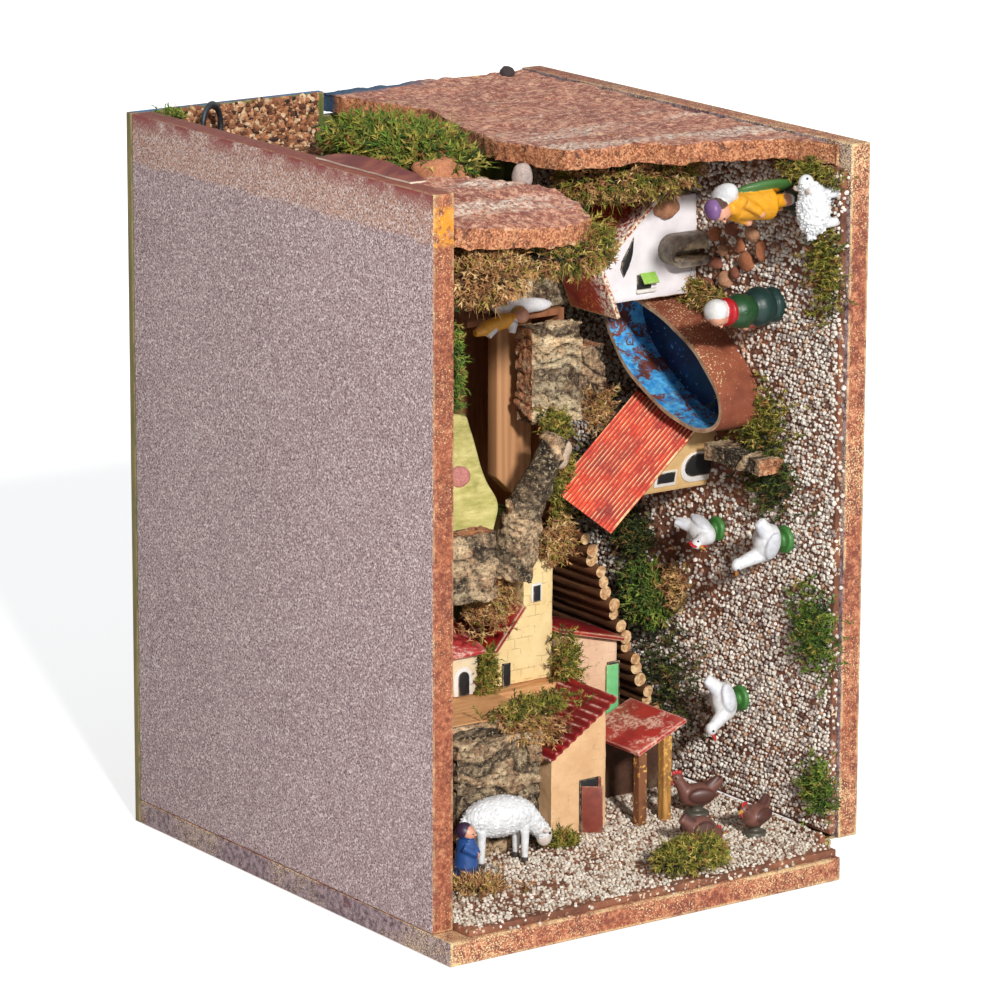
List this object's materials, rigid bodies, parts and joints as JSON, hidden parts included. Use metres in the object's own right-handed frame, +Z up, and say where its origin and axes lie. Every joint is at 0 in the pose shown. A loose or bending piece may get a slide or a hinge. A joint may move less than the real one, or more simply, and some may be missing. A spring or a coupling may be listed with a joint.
{
  "type": "book nativity box",
  "caption": "Chipboard box that opens like a book on a corner hinge, holding a crib village of cork, moss and gravel on its base and on the panel that folds down flat.",
  "frame": {"origin": "bottom centre of the closed box, on the underside of the base board", "axes": "+X from the cover panel to the stage panel, +Y from the open front to the back board, +Z up"},
  "size_m": [0.212, 0.237, 0.308],
  "materials": {
    "painted_chipboard": "matte brick-red paint, worn to cream at the edges",
    "bare_chipboard": "raw mauve-grey chipboard",
    "back_board": "thin board, painted green inside",
    "gravel": "fine glued gravel",
    "cork_bark": "rough cork bark",
    "terrace_board": "orange-brown board",
    "grass_mat": "board with a pale green mat",
    "brown_board": "dark brown board",
    "bark_crumbs": "board coated with bark crumbs",
    "raw_wood": "raw sticks and lath",
    "beige_plaster": "painted cork, matte",
    "pink_plaster": "painted cork, matte",
    "yellow_stone": "painted cork with drawn stones",
    "white_paint": "white paint on board",
    "tan_card": "raw card",
    "ribbed_card": "ribbed card, orange-red paint",
    "roof_paint": "crimson paint, worn",
    "pond_blue": "blue paint splashed over brown",
    "dried_moss": "dried moss",
    "hinge_steel": "dull plated hinge",
    "dark_leather": "stiff dark leather loop",
    "hen_paint": "painted plaster",
    "white_bird_paint": "painted plaster",
    "fleece_paint": "painted plaster",
    "robe_paint": "painted plaster"
  },
  "bodies": {
    "base_half": {"angel": "robe_paint", "arch_house": "white_paint", "arch_house_roof": "roof_paint", "back_panel": "back_board", "bark_column": "cork_bark", "bark_shelf": "cork_bark", "bark_trunk": "cork_bark", "base_board": "painted_chipboard", "base_gravel": "gravel", "blue_figure": "robe_paint", "cliff_bark": "cork_bark", "closing_loop": "dark_leather", "cork_block": "cork_bark", "cover_lobe": "painted_chipboard", "cover_panel": "bare_chipboard", "crumb_shelf": "bark_crumbs", "green_door_house": "pink_plaster", "green_door_house_roof": "roof_paint", "grotto_beam": "raw_wood", "grotto_floor": "grass_mat", "grotto_hut": "brown_board", "hen_pecking": "hen_paint", "hen_sitting": "hen_paint", "hen_standing": "hen_paint", "hinge_base_leaf_front": "hinge_steel", "hinge_base_leaf_rear": "hinge_steel", "hinge_pin_front": "hinge_steel", "hinge_pin_rear": "hinge_steel", "log_wall": "raw_wood", "moss_crown": "dried_moss", "moss_front": "dried_moss", "moss_top": "dried_moss", "porch_house": "beige_plaster", "porch_house_roof": "roof_paint", "porch_post_left": "raw_wood", "porch_post_right": "raw_wood", "porch_roof": "roof_paint", "sheep": "fleece_paint", "tower_house": "yellow_stone", "tower_roof": "roof_paint", "village_terrace": "terrace_board"},
    "stage_half": {"bark_strip": "cork_bark", "duck": "white_bird_paint", "goose": "white_bird_paint", "hinge_stage_leaf_front": "hinge_steel", "hinge_stage_leaf_rear": "hinge_steel", "kneeling_figure": "robe_paint", "lamb": "fleece_paint", "moss_eave": "dried_moss", "moss_low": "dried_moss", "pond_basin": "pond_blue", "ribbed_house": "tan_card", "ribbed_house_roof": "ribbed_card", "roof_slab": "painted_chipboard", "shepherd": "robe_paint", "stage_gravel": "gravel", "stage_panel": "painted_chipboard", "white_hen": "white_bird_paint", "white_house": "white_paint", "white_house_roof": "roof_paint"}
  },
  "joints": [
    {"name": "stage_fold", "type": "hinge", "parent": "base_half", "child": "stage_half", "pos_m": [0.094, 0, 0.012], "axis": [0, 1, 0], "range_deg": [0, 90]}
  ]
}
